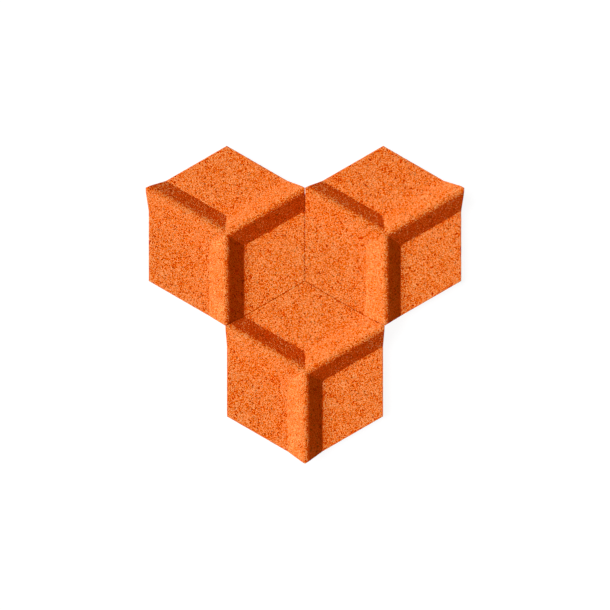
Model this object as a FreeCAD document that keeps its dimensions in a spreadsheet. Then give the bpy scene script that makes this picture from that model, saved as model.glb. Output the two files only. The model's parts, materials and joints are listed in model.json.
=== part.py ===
import FreeCAD, Part
import math
import os

import Sketcher

# Set of three hexagonal relief tiles, each one moulded block of fine agglomerated cork.
#
# Every tile is a flat hexagonal plate with a raised Y on its face: three rounded ridges run from
# the middle to alternate corners, where the side faces cut them off flush. Between the ridges are
# three flat rhombic fields. The tiles are alike and point the same way, and they meet at a corner
# of each, so the set has threefold symmetry about that shared corner.
#
# Row frame, in millimetres: the origin is the shared corner on the back plane, +Z points out of
# the relief, and +Y points away from the lower tile, along the seam of the upper two.

DIMENSIONS = {
    "across_flats": "168",  # from one side face of a tile to the opposite one
    "joint_gap": "0.3",  # open seam between neighbouring tiles
    "plate_thickness": "12",  # back face to the flat fields
    "ridge_width": "37.4",  # foot to foot, measured on the flat fields
    "ridge_slope": "45",  # angle of a ridge's sides to the plate, in degrees
    "crest_radius": "7.5",  # rounding along the top of a ridge
    "ridge_root": "6",  # how far a ridge's section reaches down into the plate
    "ridge_count": "3",
    "overrun": "20",  # how far a ridge runs past its corner before it is trimmed
}

# A tile's middle to its corners, and the shared corner to the middle of each tile.
CORNER_RADIUS = "Dimensions.across_flats / sqrt(3)"
CENTRE_DISTANCE = "(Dimensions.across_flats + Dimensions.joint_gap) / sqrt(3)"

# The direction of each tile's middle from the shared corner, in degrees.
TILE_DIRECTIONS = {"tile_bottom": 270, "tile_left": 150, "tile_right": 30}

VOLUME_TOLERANCE = 1e-6  # relative

START, END, CENTRE = 1, 2, 3  # point numbers of a sketch element
ORIGIN, Y_AXIS = -1, -2  # the sketch's own root point and vertical axis


def add_dimensions(document):
    """The spreadsheet that holds the driving dimensions."""
    sheet = document.addObject("Spreadsheet::Sheet", "Dimensions")
    for row, (alias, value) in enumerate(DIMENSIONS.items(), start=1):
        sheet.set(f"A{row}", alias)
        sheet.set(f"B{row}", value)
        sheet.setAlias(f"B{row}", alias)
    document.recompute()
    return sheet


def origin_feature(body, role):
    """The one of the body's own origin planes and axes that has this role."""
    return next(item for item in body.Origin.OriginFeatures if item.Role == role)


def add_sketch(body, name, plane):
    sketch = body.newObject("Sketcher::SketchObject", name)
    sketch.AttachmentSupport = [(origin_feature(body, plane), "")]
    sketch.MapMode = "FlatFace"
    return sketch


def constrain(sketch, expression, *constraint):
    """Adds a constraint whose value is worked out from the spreadsheet."""
    index = sketch.addConstraint(Sketcher.Constraint(*constraint))
    sketch.setExpression(f"Constraints[{index}]", expression)


def draw_hexagon(sketch, corner_radius):
    """A regular hexagon about the origin with a corner on the Y axis."""
    corners = [
        FreeCAD.Vector(
            corner_radius * math.sin(math.radians(60 * turn)),
            corner_radius * math.cos(math.radians(60 * turn)),
            0,
        )
        for turn in range(6)
    ]
    sides = [
        sketch.addGeometry(Part.LineSegment(corners[turn], corners[(turn + 1) % 6]), False)
        for turn in range(6)
    ]
    around = sketch.addGeometry(
        Part.Circle(FreeCAD.Vector(0, 0, 0), FreeCAD.Vector(0, 0, 1), corner_radius), True
    )
    sketch.addConstraint(Sketcher.Constraint("Coincident", around, CENTRE, ORIGIN, START))
    for turn, side in enumerate(sides):
        following = sides[(turn + 1) % 6]
        sketch.addConstraint(Sketcher.Constraint("Coincident", side, END, following, START))
        sketch.addConstraint(Sketcher.Constraint("PointOnObject", side, START, around))
        if turn:
            sketch.addConstraint(Sketcher.Constraint("Equal", sides[0], side))
    sketch.addConstraint(Sketcher.Constraint("PointOnObject", sides[0], START, Y_AXIS))
    constrain(sketch, CORNER_RADIUS, "Radius", around, corner_radius)


def draw_ridge_section(sketch, sheet):
    """A ridge cut across: a root inside the plate, two straight slopes and a rounded crest."""
    half_width = sheet.ridge_width / 2
    slope = math.radians(sheet.ridge_slope)
    radius = sheet.crest_radius
    face = sheet.plate_thickness
    root = face - sheet.ridge_root
    crest_centre = face + half_width * math.tan(slope) - radius / math.cos(slope)
    tangent = FreeCAD.Vector(
        radius * math.sin(slope), crest_centre + radius * math.cos(slope), 0
    )
    root_left = FreeCAD.Vector(-half_width, root, 0)
    root_right = FreeCAD.Vector(half_width, root, 0)
    foot_left = FreeCAD.Vector(-half_width, face, 0)
    foot_right = FreeCAD.Vector(half_width, face, 0)
    tangent_left = FreeCAD.Vector(-tangent.x, tangent.y, 0)

    bottom = sketch.addGeometry(Part.LineSegment(root_left, root_right), False)
    right = sketch.addGeometry(Part.LineSegment(root_right, foot_right), False)
    slope_right = sketch.addGeometry(Part.LineSegment(foot_right, tangent), False)
    circle = Part.Circle(FreeCAD.Vector(0, crest_centre, 0), FreeCAD.Vector(0, 0, 1), radius)
    upright = math.pi / 2
    crest = sketch.addGeometry(Part.ArcOfCircle(circle, upright - slope, upright + slope), False)
    slope_left = sketch.addGeometry(Part.LineSegment(tangent_left, foot_left), False)
    left = sketch.addGeometry(Part.LineSegment(foot_left, root_left), False)

    for constraint in (
        ("Coincident", bottom, END, right, START),
        ("Coincident", right, END, slope_right, START),
        ("Tangent", slope_right, END, crest, START),
        ("Tangent", crest, END, slope_left, START),
        ("Coincident", slope_left, END, left, START),
        ("Coincident", left, END, bottom, START),
        ("Symmetric", bottom, START, bottom, END, Y_AXIS),
        ("Vertical", right),
        ("Vertical", left),
        ("Horizontal", right, END, left, START),
        ("PointOnObject", crest, CENTRE, Y_AXIS),
    ):
        sketch.addConstraint(Sketcher.Constraint(*constraint))
    constrain(
        sketch, "Dimensions.ridge_width", "DistanceX", bottom, START, bottom, END, 2 * half_width
    )
    constrain(
        sketch,
        "Dimensions.plate_thickness - Dimensions.ridge_root",
        "DistanceY", ORIGIN, START, bottom, END, root,
    )
    constrain(
        sketch, "Dimensions.plate_thickness", "DistanceY", ORIGIN, START, right, END, face
    )
    constrain(
        sketch, "180deg - Dimensions.ridge_slope * 1deg", "Angle", slope_right, math.pi - slope
    )
    constrain(sketch, "Dimensions.crest_radius", "Radius", crest, radius)


def add_tile(document, sheet, label, direction):
    """One tile as a body of its own, with its back on the XY plane of the row frame."""
    corner_radius = sheet.across_flats / math.sqrt(3)
    body = document.addObject("PartDesign::Body", label)
    body.Label = label

    outline = add_sketch(body, f"{label}_outline", "XY_Plane")
    draw_hexagon(outline, corner_radius)
    plate = body.newObject("PartDesign::Pad", f"{label}_plate")
    plate.Profile = outline
    plate.setExpression("Length", "Dimensions.plate_thickness")

    # The first ridge runs from the middle along -Y, past the corner that ends it.
    section = add_sketch(body, f"{label}_ridge_section", "XZ_Plane")
    draw_ridge_section(section, sheet)
    ridge = body.newObject("PartDesign::Pad", f"{label}_ridge")
    ridge.Profile = section
    ridge.setExpression("Length", CORNER_RADIUS + " + Dimensions.overrun")

    ridges = body.newObject("PartDesign::PolarPattern", f"{label}_ridges")
    ridges.Originals = [ridge]
    ridges.Axis = (origin_feature(body, "Z_Axis"), [""])
    ridges.Angle = 360
    ridges.setExpression("Occurrences", "Dimensions.ridge_count")
    body.Tip = ridges

    # Everything outside the hexagon is cut away, which leaves the ridges' ends flush with the
    # side faces.
    surround = add_sketch(body, f"{label}_surround", "XY_Plane")
    draw_hexagon(surround, corner_radius)
    reach = corner_radius + 2 * sheet.overrun
    rim = surround.addGeometry(
        Part.Circle(FreeCAD.Vector(0, 0, 0), FreeCAD.Vector(0, 0, 1), reach), False
    )
    surround.addConstraint(Sketcher.Constraint("Coincident", rim, CENTRE, ORIGIN, START))
    constrain(surround, CORNER_RADIUS + " + 2 * Dimensions.overrun", "Radius", rim, reach)
    trim = body.newObject("PartDesign::Pocket", f"{label}_trim")
    trim.Profile = surround
    trim.Type = "ThroughAll"
    trim.Reversed = True
    body.Tip = trim

    body.setExpression("Placement.Base.x", f"{CENTRE_DISTANCE} * cos({direction}deg)")
    body.setExpression("Placement.Base.y", f"{CENTRE_DISTANCE} * sin({direction}deg)")
    return body


def tile_volume(sheet):
    """A tile's volume in closed form: the plate plus three ridges, mitred at the middle."""
    half_width = sheet.ridge_width / 2
    slope = math.radians(sheet.ridge_slope)
    radius = sheet.crest_radius
    corner_radius = sheet.across_flats / math.sqrt(3)
    plate = math.sqrt(3) / 2 * sheet.across_flats**2 * sheet.plate_thickness

    # Area of a ridge's section, and the first moment of that area about its middle: those of a
    # triangle, less the tip that the crest's rounding takes off.
    area = half_width**2 * math.tan(slope) - radius**2 * (math.tan(slope) - slope)
    rounded_tip = radius**3 * (
        math.sin(slope) ** 2 / (2 * math.cos(slope))
        - math.sin(slope) ** 3 * math.tan(slope) / 3
        - (1 - math.cos(slope) ** 3) / 3
    )
    moment = half_width**3 * math.tan(slope) / 3 - 2 * rounded_tip
    # A strip of the ridge at an offset u from its middle is 2 u / sqrt(3) short of the corner
    # radius, half of it at the mitre and half at the side face.
    ridge = area * corner_radius - moment * 2 / math.sqrt(3)
    return plate + sheet.ridge_count * ridge


def check(document, sheet, tiles):
    """Stops when a feature has failed or a tile isn't the solid it should be."""
    for item in document.Objects:
        if {"Invalid", "Error"} & set(item.State):
            raise RuntimeError(f"{item.Name} failed: {item.State}")
        if item.TypeId == "Sketcher::SketchObject" and item.solve() != 0:
            raise RuntimeError(f"{item.Name} doesn't solve")
    expected = tile_volume(sheet)
    for tile in tiles:
        shape = tile.Shape
        if shape.isNull() or not shape.isValid() or len(shape.Solids) != 1:
            raise RuntimeError(f"{tile.Label} isn't one valid solid")
        if abs(shape.Volume / expected - 1) > VOLUME_TOLERANCE:
            raise RuntimeError(f"{tile.Label}: {shape.Volume} mm3, expected {expected} mm3")


def main():
    document = FreeCAD.newDocument("ReliefTileSet")
    sheet = add_dimensions(document)
    tiles = [
        add_tile(document, sheet, label, direction)
        for label, direction in TILE_DIRECTIONS.items()
    ]
    document.recompute()
    check(document, sheet, tiles)
    os.makedirs("parts", exist_ok=True)
    for tile in tiles:
        tile.Shape.exportStep(f"parts/{tile.Label}.step")
        box = tile.Shape.optimalBoundingBox()
        print(f"{tile.Label}: {tile.Shape.Volume:.1f} mm3, {len(tile.Shape.Faces)} faces, {box}")


main()
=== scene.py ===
import json
import math

import bpy
import numpy as np
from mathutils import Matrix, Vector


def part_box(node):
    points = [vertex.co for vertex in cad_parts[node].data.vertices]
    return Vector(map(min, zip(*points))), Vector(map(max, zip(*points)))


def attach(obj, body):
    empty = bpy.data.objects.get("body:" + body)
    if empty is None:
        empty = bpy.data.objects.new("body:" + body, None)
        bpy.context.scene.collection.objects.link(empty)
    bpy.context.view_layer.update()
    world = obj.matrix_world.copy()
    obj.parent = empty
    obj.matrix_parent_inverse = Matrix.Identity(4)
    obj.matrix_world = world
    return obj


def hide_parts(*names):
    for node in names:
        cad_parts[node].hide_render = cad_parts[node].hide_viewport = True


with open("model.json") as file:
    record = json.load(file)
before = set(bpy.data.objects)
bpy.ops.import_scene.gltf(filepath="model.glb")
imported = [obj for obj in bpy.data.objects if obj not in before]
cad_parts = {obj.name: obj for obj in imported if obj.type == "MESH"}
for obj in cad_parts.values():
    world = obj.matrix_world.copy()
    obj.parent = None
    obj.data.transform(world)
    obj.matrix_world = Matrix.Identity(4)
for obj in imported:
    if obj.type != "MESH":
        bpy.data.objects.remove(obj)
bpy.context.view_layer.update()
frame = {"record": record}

# A set of three hexagonal relief tiles of orange cork, lying face up on a pale floor.
#
# Each CAD tile is stood for by a fine mesh of the same shape whose surface is broken up into
# lumps, pits and worn edges. All of that goes inwards from the CAD surface, so the tiles keep
# their size and the seams between them stay open. The granules are in the material.

MM = 0.001

# ---- the mesh of a tile ----
# A ridge's foot is about 2/9 of the way from the middle to a side face, so 9 goes into the cells
# along a side of the hexagon, and the foot falls on a line of the mesh.
FACE_CELLS = 144
BACK_CELLS = FACE_CELLS // 2
SIDE_ROWS = 18

# ---- the relief, as the CAD model has it: sides at 45 degrees and a rounded crest ----
RIDGE_HALF_WIDTH = 18.7 * MM
RIDGE_START = -1 * MM  # where a ridge begins, along it from the tile's middle
RIDGE_DIRECTIONS = [math.radians(angle) for angle in (30, 150, 270)]
SIDE_DIRECTIONS = [math.radians(angle) for angle in range(0, 360, 60)]

# ---- the cork's relief: how far it is sunk below the smooth surface ----
LUMP = 1.45 * MM  # size of the lumps that the surface is modelled in
LUMP_SALT = 11
DOME_TOP = 0.05 * MM  # at a lump's middle
DOME_DROP = 0.12 * MM  # from there to between the lumps
DOME_FLANK = (0.1, 0.9)  # where it drops, from a lump's middle, in lumps
UNEVEN = 0.08 * MM  # by how much lumps differ in height
PIT_CHANCE = (0.955, 0.97)  # a lump's number: above the second it is a pit, between a shallow one
PIT_RADIUS = 0.75  # in lumps
PIT_WALL = 0.4  # width of a pit's sloping wall, in lumps
PIT_DEPTH = 0.55 * MM
PATCH = 2.1 * LUMP  # size of the patches that wear differently along an edge
PATCH_SALT = 29
UNWORN = 0.35  # share of the patches that aren't worn
WEAR_REACH = 1.3 * MM  # from the rim
WEAR_DEPTH = 0.45 * MM
SEAM_GIVE = 0.12  # share of the relief that a side face has at its rim
SEAM_MOUTH = 4 * MM  # how far down a side face has the whole of it

# ---- the cork's colour: granules in two sizes, the smaller ones half as large ----
GRANULE = 0.56 * MM
MOTTLE = 14 * MM  # size of the faint cloudy patches
COARSE_SHARE = 0.5  # of what decides the shade of a spot
FINE_SHARE = 0.35
CLOUD_SHARE = 0.15
CORK_COLOURS = [  # shade, and the colour that goes with it
    (0.15, (0.32, 0.028, 0.003)),
    (0.35, (0.71, 0.078, 0.009)),
    (0.5, (0.93, 0.142, 0.016)),
    (0.65, (1.0, 0.260, 0.036)),
    (0.85, (1.0, 0.63, 0.22)),
]
# Dark cork colour for the pores; the same colour darkens the pits of the relief as painted shade.
PORE_AND_PIT_SHADE_COLOUR = (0.18, 0.013, 0.002, 1)
PORES_ABOVE = 0.975  # one large granule in forty is a pore
PORE_AND_PIT_SHADE_SHARE = 0.7  # how much of the dark colour a pore or pit has; in a pit it is painted shade
BUMP_STRENGTH = 0.35
BUMP_HEIGHT = 0.2 * MM
FINE_BUMP = 0.5  # height of the small granules, against the large ones
CORK_ROUGHNESS = 0.7
CORK_SPECULAR = 0.02

# ---- the stage ----
WHITE = (1, 1, 1, 1)
BLACK = (0, 0, 0, 1)
FLOOR_WHITE = (0.12, 0.12, 0.12, 1)  # it glows as well, which makes it white
FLOOR_GLOW = 0.93
# A spot of the floor is as open as the share of the directions from it that nothing is near in.
OPEN_REACH = 30 * MM  # what is near
OPEN_SAMPLES = 16
SEAM_OPENNESS = 0.06  # up to here a spot is down in a seam
FULL_OPENNESS = 0.12  # from here it is plain floor
STAGE_RADIUS = 8.0
STAGE_STEPS = 96
DOME_STEPS = 16

# ---- the light: one soft key from the left, a touch from above in the picture ----
KEY_TILT = math.radians(43)  # from straight above
KEY_TURN = math.radians(174)  # seen from above, from the right anticlockwise
KEY_SPREAD = math.radians(48)
KEY_STRENGTH = 4.25
AMBIENT = 0.01

# ---- the camera ----
# The view is square on. The camera is straight above a point on the bottom tile, and the tile set
# sits in the upper part of what the lens sees, so the picture is shifted up.
CAMERA_DISTANCE = 800 * MM  # above the flat fields
CAMERA_OFFSET = 27 * MM  # from the bottom tile's middle towards the shared corner
LENS = 43.9
SENSOR = 36
SHIFT_UP = 0.0677
CLIP_START = 10 * MM

# ---- the grade, as linear brightness before and after ----
# Dark tones lose some green and most of their blue, which keeps the shaded slopes a rich red
# brown.
GREEN_GRADE = [(0.035, 0.022), (0.07, 0.034), (0.1, 0.055), (0.18, 0.185), (0.3, 0.3)]
BLUE_GRADE = [(0.01, 0.0005), (0.02, 0.004), (0.034, 0.032), (0.06, 0.075), (0.2, 0.2)]
GREEN_CURVE = 1  # places in the view's list of curves
BLUE_CURVE = 2


# ------------------------------------------------------------------ the shape of a tile


class TileShape:
    """Sizes and place of one tile, read from its CAD node and from the record's mounts."""

    def __init__(self, body, node):
        low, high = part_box(node)
        mounts = {mount["name"]: mount["pos_m"] for mount in frame["record"]["mounts"]}
        self.middle = np.array([(low.x + high.x) / 2, (low.y + high.y) / 2])
        self.half_width = (high.x - low.x) / 2
        self.corner_radius = self.half_width / math.cos(math.pi / 6)
        # A free side's mount is halfway up the plate.
        sides = [at[2] for name, at in mounts.items() if name.startswith(body) and "side" in name]
        self.plate = 2 * sides[0]
        ridge_height = high.z - self.plate
        # Rounding a 45 degree crest to radius r takes (sqrt(2) - 1) r off its height.
        self.crest_radius = (RIDGE_HALF_WIDTH - ridge_height) / (math.sqrt(2) - 1)

    def height(self, x, y):
        """How high the face is above the back, at points measured from the tile's middle."""
        off_ridge = np.full(x.shape, np.inf)
        for angle in RIDGE_DIRECTIONS:
            along = x * math.cos(angle) + y * math.sin(angle)
            across = np.abs(y * math.cos(angle) - x * math.sin(angle))
            on_ridge = along > RIDGE_START
            off_ridge = np.where(on_ridge, np.minimum(off_ridge, across), off_ridge)
        radius = self.crest_radius
        slope = np.maximum(RIDGE_HALF_WIDTH - off_ridge, 0)
        crest = RIDGE_HALF_WIDTH - radius * math.sqrt(2)
        crest = crest + np.sqrt(np.maximum(radius**2 - off_ridge**2, 0))
        return self.plate + np.where(off_ridge < radius / math.sqrt(2), crest, slope)


def lattice(cells, corner_radius):
    """A hexagon cut into equilateral triangles: its points, its triangles, and its rim in order."""
    # The points are numbered on a slanted grid, which has a spare row at its end, so that each
    # point has a neighbour to look up. Points outside the hexagon are number -1.
    steps = np.arange(-cells, cells + 2)
    i, j = np.meshgrid(steps, steps, indexing="ij")
    inside = (abs(i) <= cells) & (abs(j) <= cells) & (abs(i + j) <= cells)
    number = np.where(inside, np.cumsum(inside).reshape(inside.shape) - 1, -1)
    here, right, up, across = number[:-1, :-1], number[1:, :-1], number[:-1, 1:], number[1:, 1:]
    triangles = np.stack([[here, right, up], [right, across, up]]).transpose(0, 2, 3, 1)
    triangles = triangles.reshape(-1, 3)
    triangles = triangles[(triangles >= 0).all(1)]
    pitch = corner_radius / cells
    x = i[inside] * math.cos(math.pi / 6) * pitch
    y = (i[inside] * math.sin(math.pi / 6) + j[inside]) * pitch
    corners = [(1, 0), (0, 1), (-1, 1), (-1, 0), (0, -1), (1, -1)]
    rim = []
    for (i0, j0), (i1, j1) in zip(corners, corners[1:] + corners[:1]):
        for step in range(cells):
            at = (i0 * cells + (i1 - i0) * step, j0 * cells + (j1 - j0) * step)
            rim.append(number[at[0] + cells, at[1] + cells])
    return np.stack([x, y], 1), triangles, np.array(rim)


def tile_mesh(shape):
    """The smooth tile, measured from its middle: points, faces, and how far each point of the
    sides is below the rim of the face (minus one elsewhere)."""
    face, face_triangles, face_rim = lattice(FACE_CELLS, shape.corner_radius)
    back, back_triangles, back_rim = lattice(BACK_CELLS, shape.corner_radius)
    face_z = shape.height(face[:, 0], face[:, 1])
    points = [np.column_stack([face, face_z])]
    below = [np.full(len(face), -1.0)]
    below[0][face_rim] = 0
    rings = [face_rim]
    made = len(face)
    rim_xy, rim_z = face[face_rim], face_z[face_rim]
    for row in range(1, SIDE_ROWS):
        z = rim_z * (1 - row / SIDE_ROWS)
        points.append(np.column_stack([rim_xy, z]))
        below.append(rim_z - z)
        rings.append(made + np.arange(len(face_rim)))
        made += len(face_rim)
    points.append(np.column_stack([back, np.zeros(len(back))]))
    below.append(np.full(len(back), -1.0))
    below[-1][back_rim] = shape.plate
    back_ring = made + back_rim

    faces = [tuple(triangle) for triangle in face_triangles]
    for upper, lower in zip(rings, rings[1:]):
        corners = [upper, lower, np.roll(lower, -1), np.roll(upper, -1)]
        faces += [tuple(corner) for corner in np.stack(corners, 1)]
    # The last row goes from the face's spacing to the back's, which is twice as wide.
    last = rings[-1]
    for at in range(len(back_ring)):
        first, middle, end = last[2 * at], last[2 * at + 1], last[(2 * at + 2) % len(last)]
        low, low_end = back_ring[at], back_ring[(at + 1) % len(back_ring)]
        faces += [(first, low, middle), (middle, low, low_end), (middle, low_end, end)]
    faces += [tuple(triangle[::-1] + made) for triangle in back_triangles]
    return np.concatenate(points), faces, np.concatenate(below)


# ------------------------------------------------------------------ the cork's surface


WORD = 0xFFFFFFFF
HASH_START = 0x9E3779B9
HASH_FACTORS = ((0x85EBCA6B, 13), (0xC2B2AE35, 16))  # each with the shift that comes after it


def hashed(cells, salt):
    """A random number from 0 to 1 for each row of whole numbers, the same on every run."""
    mixed = np.full(len(cells), HASH_START * (salt + 1) & WORD, np.uint64)
    for column in range(cells.shape[1]):
        mixed ^= cells[:, column].astype(np.int64).astype(np.uint64) & np.uint64(WORD)
        for factor, shift in HASH_FACTORS:
            mixed = (mixed * np.uint64(factor)) & np.uint64(WORD)
            mixed ^= mixed >> np.uint64(shift)
    return mixed.astype(float) / WORD


def nearest_granule(points, size, salt):
    """The distance from each point to the nearest granule's middle, in granule sizes, and a random
    number that belongs to that granule."""
    scaled = points / size
    cell = np.floor(scaled).astype(np.int64)
    best = np.full(len(points), np.inf)
    owner = np.zeros(len(points))
    for dx in (-1, 0, 1):
        for dy in (-1, 0, 1):
            for dz in (-1, 0, 1):
                near = cell + (dx, dy, dz)
                middle = near + np.stack([hashed(near, salt + axis) for axis in range(3)], 1)
                distance = np.linalg.norm(scaled - middle, axis=1)
                closer = distance < best
                best = np.where(closer, distance, best)
                owner = np.where(closer, hashed(near, salt + 3), owner)
    return best, owner


def ramp(value, start, end):
    """0 up to start, 1 from end, and a smooth rise between."""
    share = np.clip((value - start) / (end - start), 0, 1)
    return share * share * (3 - 2 * share)


def cork_depths(points, edge_distance):
    """How far each point is sunk below the smooth surface, and how much of a pit it lies in."""
    distance, owner = nearest_granule(points, LUMP, LUMP_SALT)
    _, patch = nearest_granule(points, PATCH, PATCH_SALT)
    dome = DOME_TOP + DOME_DROP * ramp(distance, *DOME_FLANK)
    uneven = UNEVEN * owner
    pit = ramp(owner, *PIT_CHANCE) * ramp(PIT_RADIUS - distance, 0, PIT_WALL)
    worn = ramp(patch, UNWORN, 1.0) * ramp(WEAR_REACH - edge_distance, 0, WEAR_REACH)
    return dome + uneven + PIT_DEPTH * pit + WEAR_DEPTH * worn, pit


def distance_to_rim(shape, points, below):
    """How near each point is to the rim of the face: across the face, or down the side. The back
    counts as far away."""
    reach = [
        points[:, 0] * math.cos(angle) + points[:, 1] * math.sin(angle)
        for angle in SIDE_DIRECTIONS
    ]
    on_side = below >= 0
    distance = np.where(on_side, below, shape.half_width - np.max(reach, axis=0))
    distance[~on_side & (points[:, 2] <= 0)] = np.inf
    return distance


def build_tile(body, node, material):
    shape = TileShape(body, node)
    points, faces, below = tile_mesh(shape)
    mesh = bpy.data.meshes.new(f"{body}_mesh")
    mesh.from_pydata(points, [], faces)
    mesh.update()
    normals = np.zeros(len(points) * 3)
    mesh.vertices.foreach_get("normal", normals)
    normals = normals.reshape(-1, 3)

    place = np.array([*shape.middle, 0.0])
    depth, pit = cork_depths(points + place, distance_to_rim(shape, points, below))

    # The sides give way little near the rim, so that a seam is as narrow at its mouth as in CAD.
    direction = -normals
    give = np.where(below >= 0, SEAM_GIVE + (1 - SEAM_GIVE) * ramp(below, 0, SEAM_MOUTH), 1.0)
    direction[:, :2] *= give[:, None]
    points = points + direction * depth[:, None]
    mesh.vertices.foreach_set("co", (points + place).ravel())
    # The material darkens the pits with painted shade, from this share.
    attribute = mesh.attributes.new("pit", "FLOAT", "POINT")
    attribute.data.foreach_set("value", pit.astype(np.float32))
    mesh.polygons.foreach_set("use_smooth", np.ones(len(mesh.polygons), bool))
    mesh.update()

    tile = bpy.data.objects.new(f"{body}_cork", mesh)
    bpy.context.scene.collection.objects.link(tile)
    mesh.materials.append(material)
    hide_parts(node)
    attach(tile, body)


# ------------------------------------------------------------------ materials


def new_material(name):
    """A material with nothing in its node tree yet."""
    material = bpy.data.materials.new(name)
    material.use_nodes = True
    material.node_tree.nodes.clear()
    return material


def add_node(tree, kind, inputs=(), **settings):
    """A shader node with its settings, and its inputs set to a value or linked to a socket."""
    node = tree.nodes.new(kind)
    for name, value in settings.items():
        setattr(node, name, value)
    for name, value in dict(inputs).items():
        if isinstance(value, bpy.types.NodeSocket):
            tree.links.new(value, node.inputs[name])
        else:
            node.inputs[name].default_value = value
    return node


def add_surface(tree, inputs):
    """The shader that the material shows, with these inputs."""
    surface = add_node(tree, "ShaderNodeBsdfPrincipled", inputs)
    add_node(tree, "ShaderNodeOutputMaterial", {"Surface": surface.outputs["BSDF"]})


def math_node(tree, operation, first, second):
    return add_node(tree, "ShaderNodeMath", {0: first, 1: second}, operation=operation).outputs[0]


def weighted_sum(tree, *terms):
    """The sum of sockets, each times its weight."""
    parts = [math_node(tree, "MULTIPLY", socket, weight) for socket, weight in terms]
    total = parts[0]
    for part in parts[1:]:
        total = math_node(tree, "ADD", total, part)
    return total


def mixed_colour(tree, share, first, second):
    """The first colour, turning into the second as the share goes from 0 to 1."""
    node = add_node(tree, "ShaderNodeMixRGB", {"Fac": share, "Color1": first, "Color2": second})
    return node.outputs["Color"]


def colour_ramp(tree, factor, stops):
    node = add_node(tree, "ShaderNodeValToRGB", {"Fac": factor})
    elements = node.color_ramp.elements
    while len(elements) < len(stops):
        elements.new(0.5)
    for element, (position, colour) in zip(elements, stops):
        element.position = position
        element.color = (*colour, 1)
    return node.outputs["Color"]


def granules(tree, place, size):
    """Granules of this size: how far a spot is from its granule's middle, and two random numbers
    that belong to the granule."""
    texture = add_node(
        tree, "ShaderNodeTexVoronoi", {"Vector": place, "Scale": 1 / size}, feature="F1"
    )
    random = add_node(tree, "ShaderNodeSeparateColor", {"Color": texture.outputs["Color"]})
    return texture.outputs["Distance"], random.outputs["Red"], random.outputs["Green"]


def cork_material():
    """Fused granules in two sizes, each with a shade of its own, here and there a pore, and painted
    shade in the pits.
    """
    material = new_material("orange_cork")
    tree = material.node_tree
    place = add_node(tree, "ShaderNodeTexCoord").outputs["Object"]
    coarse_distance, coarse_shade, chance = granules(tree, place, GRANULE)
    fine_distance, fine_shade, _ = granules(tree, place, GRANULE / 2)
    cloud = add_node(tree, "ShaderNodeTexNoise", {"Vector": place, "Scale": 1 / MOTTLE})
    shade = weighted_sum(
        tree,
        (coarse_shade, COARSE_SHARE),
        (fine_shade, FINE_SHARE),
        (cloud.outputs["Fac"], CLOUD_SHARE),
    )
    colour = colour_ramp(tree, shade, CORK_COLOURS)
    # A pore is a dark granule, the cork's own colour; in the pits of the relief the same dark
    # colour is painted shade.
    pore = math_node(tree, "GREATER_THAN", chance, PORES_ABOVE)
    pit = add_node(tree, "ShaderNodeAttribute", attribute_name="pit").outputs["Fac"]
    pore_or_pit_shade = math_node(tree, "MULTIPLY", math_node(tree, "MAXIMUM", pore, pit), PORE_AND_PIT_SHADE_SHARE)
    colour = mixed_colour(tree, pore_or_pit_shade, colour, PORE_AND_PIT_SHADE_COLOUR)

    height = weighted_sum(tree, (coarse_distance, -1.0), (fine_distance, -FINE_BUMP))
    bump = add_node(
        tree,
        "ShaderNodeBump",
        {"Strength": BUMP_STRENGTH, "Distance": BUMP_HEIGHT, "Height": height},
    )
    add_surface(
        tree,
        {
            "Base Color": colour,
            "Roughness": CORK_ROUGHNESS,
            "Specular IOR Level": CORK_SPECULAR,
            "Normal": bump.outputs["Normal"],
        },
    )
    return material


def floor_material():
    """White that glows, so that it stays pale in the tiles' shade. Down in a seam, which hardly any
    light gets into, it is black and doesn't glow, so that none comes up between the tiles."""
    material = new_material("floor_white")
    tree = material.node_tree
    openness = add_node(
        tree, "ShaderNodeAmbientOcclusion", {"Distance": OPEN_REACH}, samples=OPEN_SAMPLES
    ).outputs["AO"]
    share = add_node(
        tree,
        "ShaderNodeMapRange",
        {"Value": openness, "From Min": SEAM_OPENNESS, "From Max": FULL_OPENNESS},
    ).outputs["Result"]
    add_surface(
        tree,
        {
            "Base Color": mixed_colour(tree, share, BLACK, FLOOR_WHITE),
            "Roughness": 1,
            "Specular IOR Level": 0,
            "Emission Color": WHITE,
            "Emission Strength": math_node(tree, "MULTIPLY", share, FLOOR_GLOW),
        },
    )
    return material


def backdrop_material():
    material = new_material("backdrop_white")
    add_surface(
        material.node_tree,
        {
            "Base Color": BLACK,
            "Specular IOR Level": 0,
            "Emission Color": WHITE,
            "Emission Strength": 1,
        },
    )
    return material


# ------------------------------------------------------------------ stage, light and camera


def ring(radius, z):
    angles = [2 * math.pi * step / STAGE_STEPS for step in range(STAGE_STEPS)]
    return [(radius * math.cos(angle), radius * math.sin(angle), z) for angle in angles]


def stage_object(name, rings, material):
    """A surface through rings of points, closed at the middle of the first one."""
    points = [(0, 0, rings[0][0][2])] + [point for one in rings for point in one]
    faces = [(0, 1 + at, 1 + (at + 1) % STAGE_STEPS) for at in range(STAGE_STEPS)]
    for row in range(len(rings) - 1):
        inner, outer = 1 + row * STAGE_STEPS, 1 + (row + 1) * STAGE_STEPS
        for at in range(STAGE_STEPS):
            after = (at + 1) % STAGE_STEPS
            faces.append((inner + at, outer + at, outer + after, inner + after))
    mesh = bpy.data.meshes.new(name)
    mesh.from_pydata(points, [], faces)
    mesh.materials.append(material)
    stage = bpy.data.objects.new(name, mesh)
    bpy.context.scene.collection.objects.link(stage)
    return stage


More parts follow.
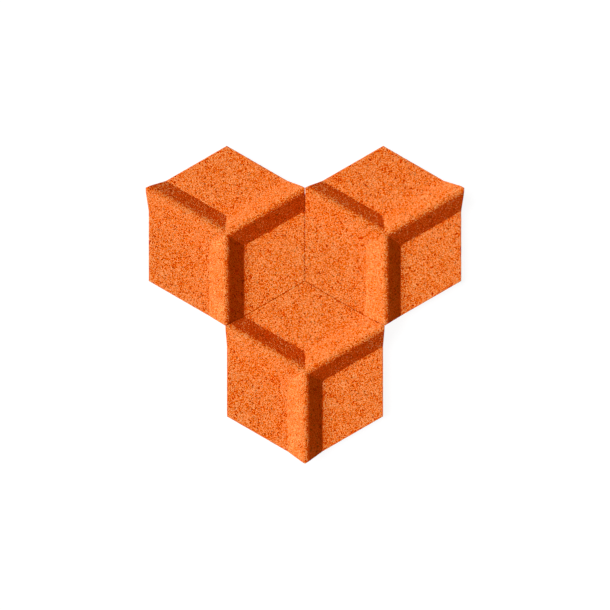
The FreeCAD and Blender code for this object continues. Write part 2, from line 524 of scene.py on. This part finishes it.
def build_stage():
    """A pale floor, and behind everything a white dome that only the camera sees."""
    stage_object("floor", [ring(STAGE_RADIUS, 0)], floor_material())
    dome_rings = []
    for step in range(1, DOME_STEPS + 1):
        angle = math.pi / 2 * step / DOME_STEPS
        dome_rings.append(ring(STAGE_RADIUS * math.sin(angle), STAGE_RADIUS * math.cos(angle)))
    dome = stage_object("backdrop", dome_rings, backdrop_material())
    dome.visible_diffuse = False
    dome.visible_glossy = False
    dome.visible_shadow = False


def build_lights():
    key = bpy.data.lights.new("key", "SUN")
    key.energy = KEY_STRENGTH
    key.angle = KEY_SPREAD
    lamp = bpy.data.objects.new("key", key)
    lamp.rotation_euler = (0, KEY_TILT, KEY_TURN)
    bpy.context.scene.collection.objects.link(lamp)
    world = bpy.data.worlds.new("studio")
    world.use_nodes = True
    background = world.node_tree.nodes["Background"]
    background.inputs["Color"].default_value = WHITE
    background.inputs["Strength"].default_value = AMBIENT
    bpy.context.scene.world = world


def build_camera():
    bottom = TileShape("bottom_tile", "tile_bottom")
    data = bpy.data.cameras.new("camera")
    data.lens = LENS
    data.sensor_width = SENSOR
    data.shift_y = SHIFT_UP
    data.clip_start = CLIP_START
    camera = bpy.data.objects.new("camera", data)
    x, y = bottom.middle
    camera.location = (x, y + CAMERA_OFFSET, bottom.plate + CAMERA_DISTANCE)
    bpy.context.scene.collection.objects.link(camera)
    bpy.context.scene.camera = camera


def set_look():
    """The plain view transform, with the grade on green and blue."""
    view = bpy.context.scene.view_settings
    view.view_transform = "Standard"
    view.look = "None"
    view.use_curve_mapping = True
    mapping = view.curve_mapping
    for place, grade in ((GREEN_CURVE, GREEN_GRADE), (BLUE_CURVE, BLUE_GRADE)):
        curve = mapping.curves[place]
        for before, after in grade:
            curve.points.new(before, after)
        for point in curve.points:
            point.handle_type = "VECTOR"
    mapping.update()


def main():
    set_look()
    cork = cork_material()
    for body, nodes in frame["record"]["behaviour"]["bodies"].items():
        build_tile(body, nodes[0], cork)
    build_stage()
    build_lights()
    build_camera()


main()
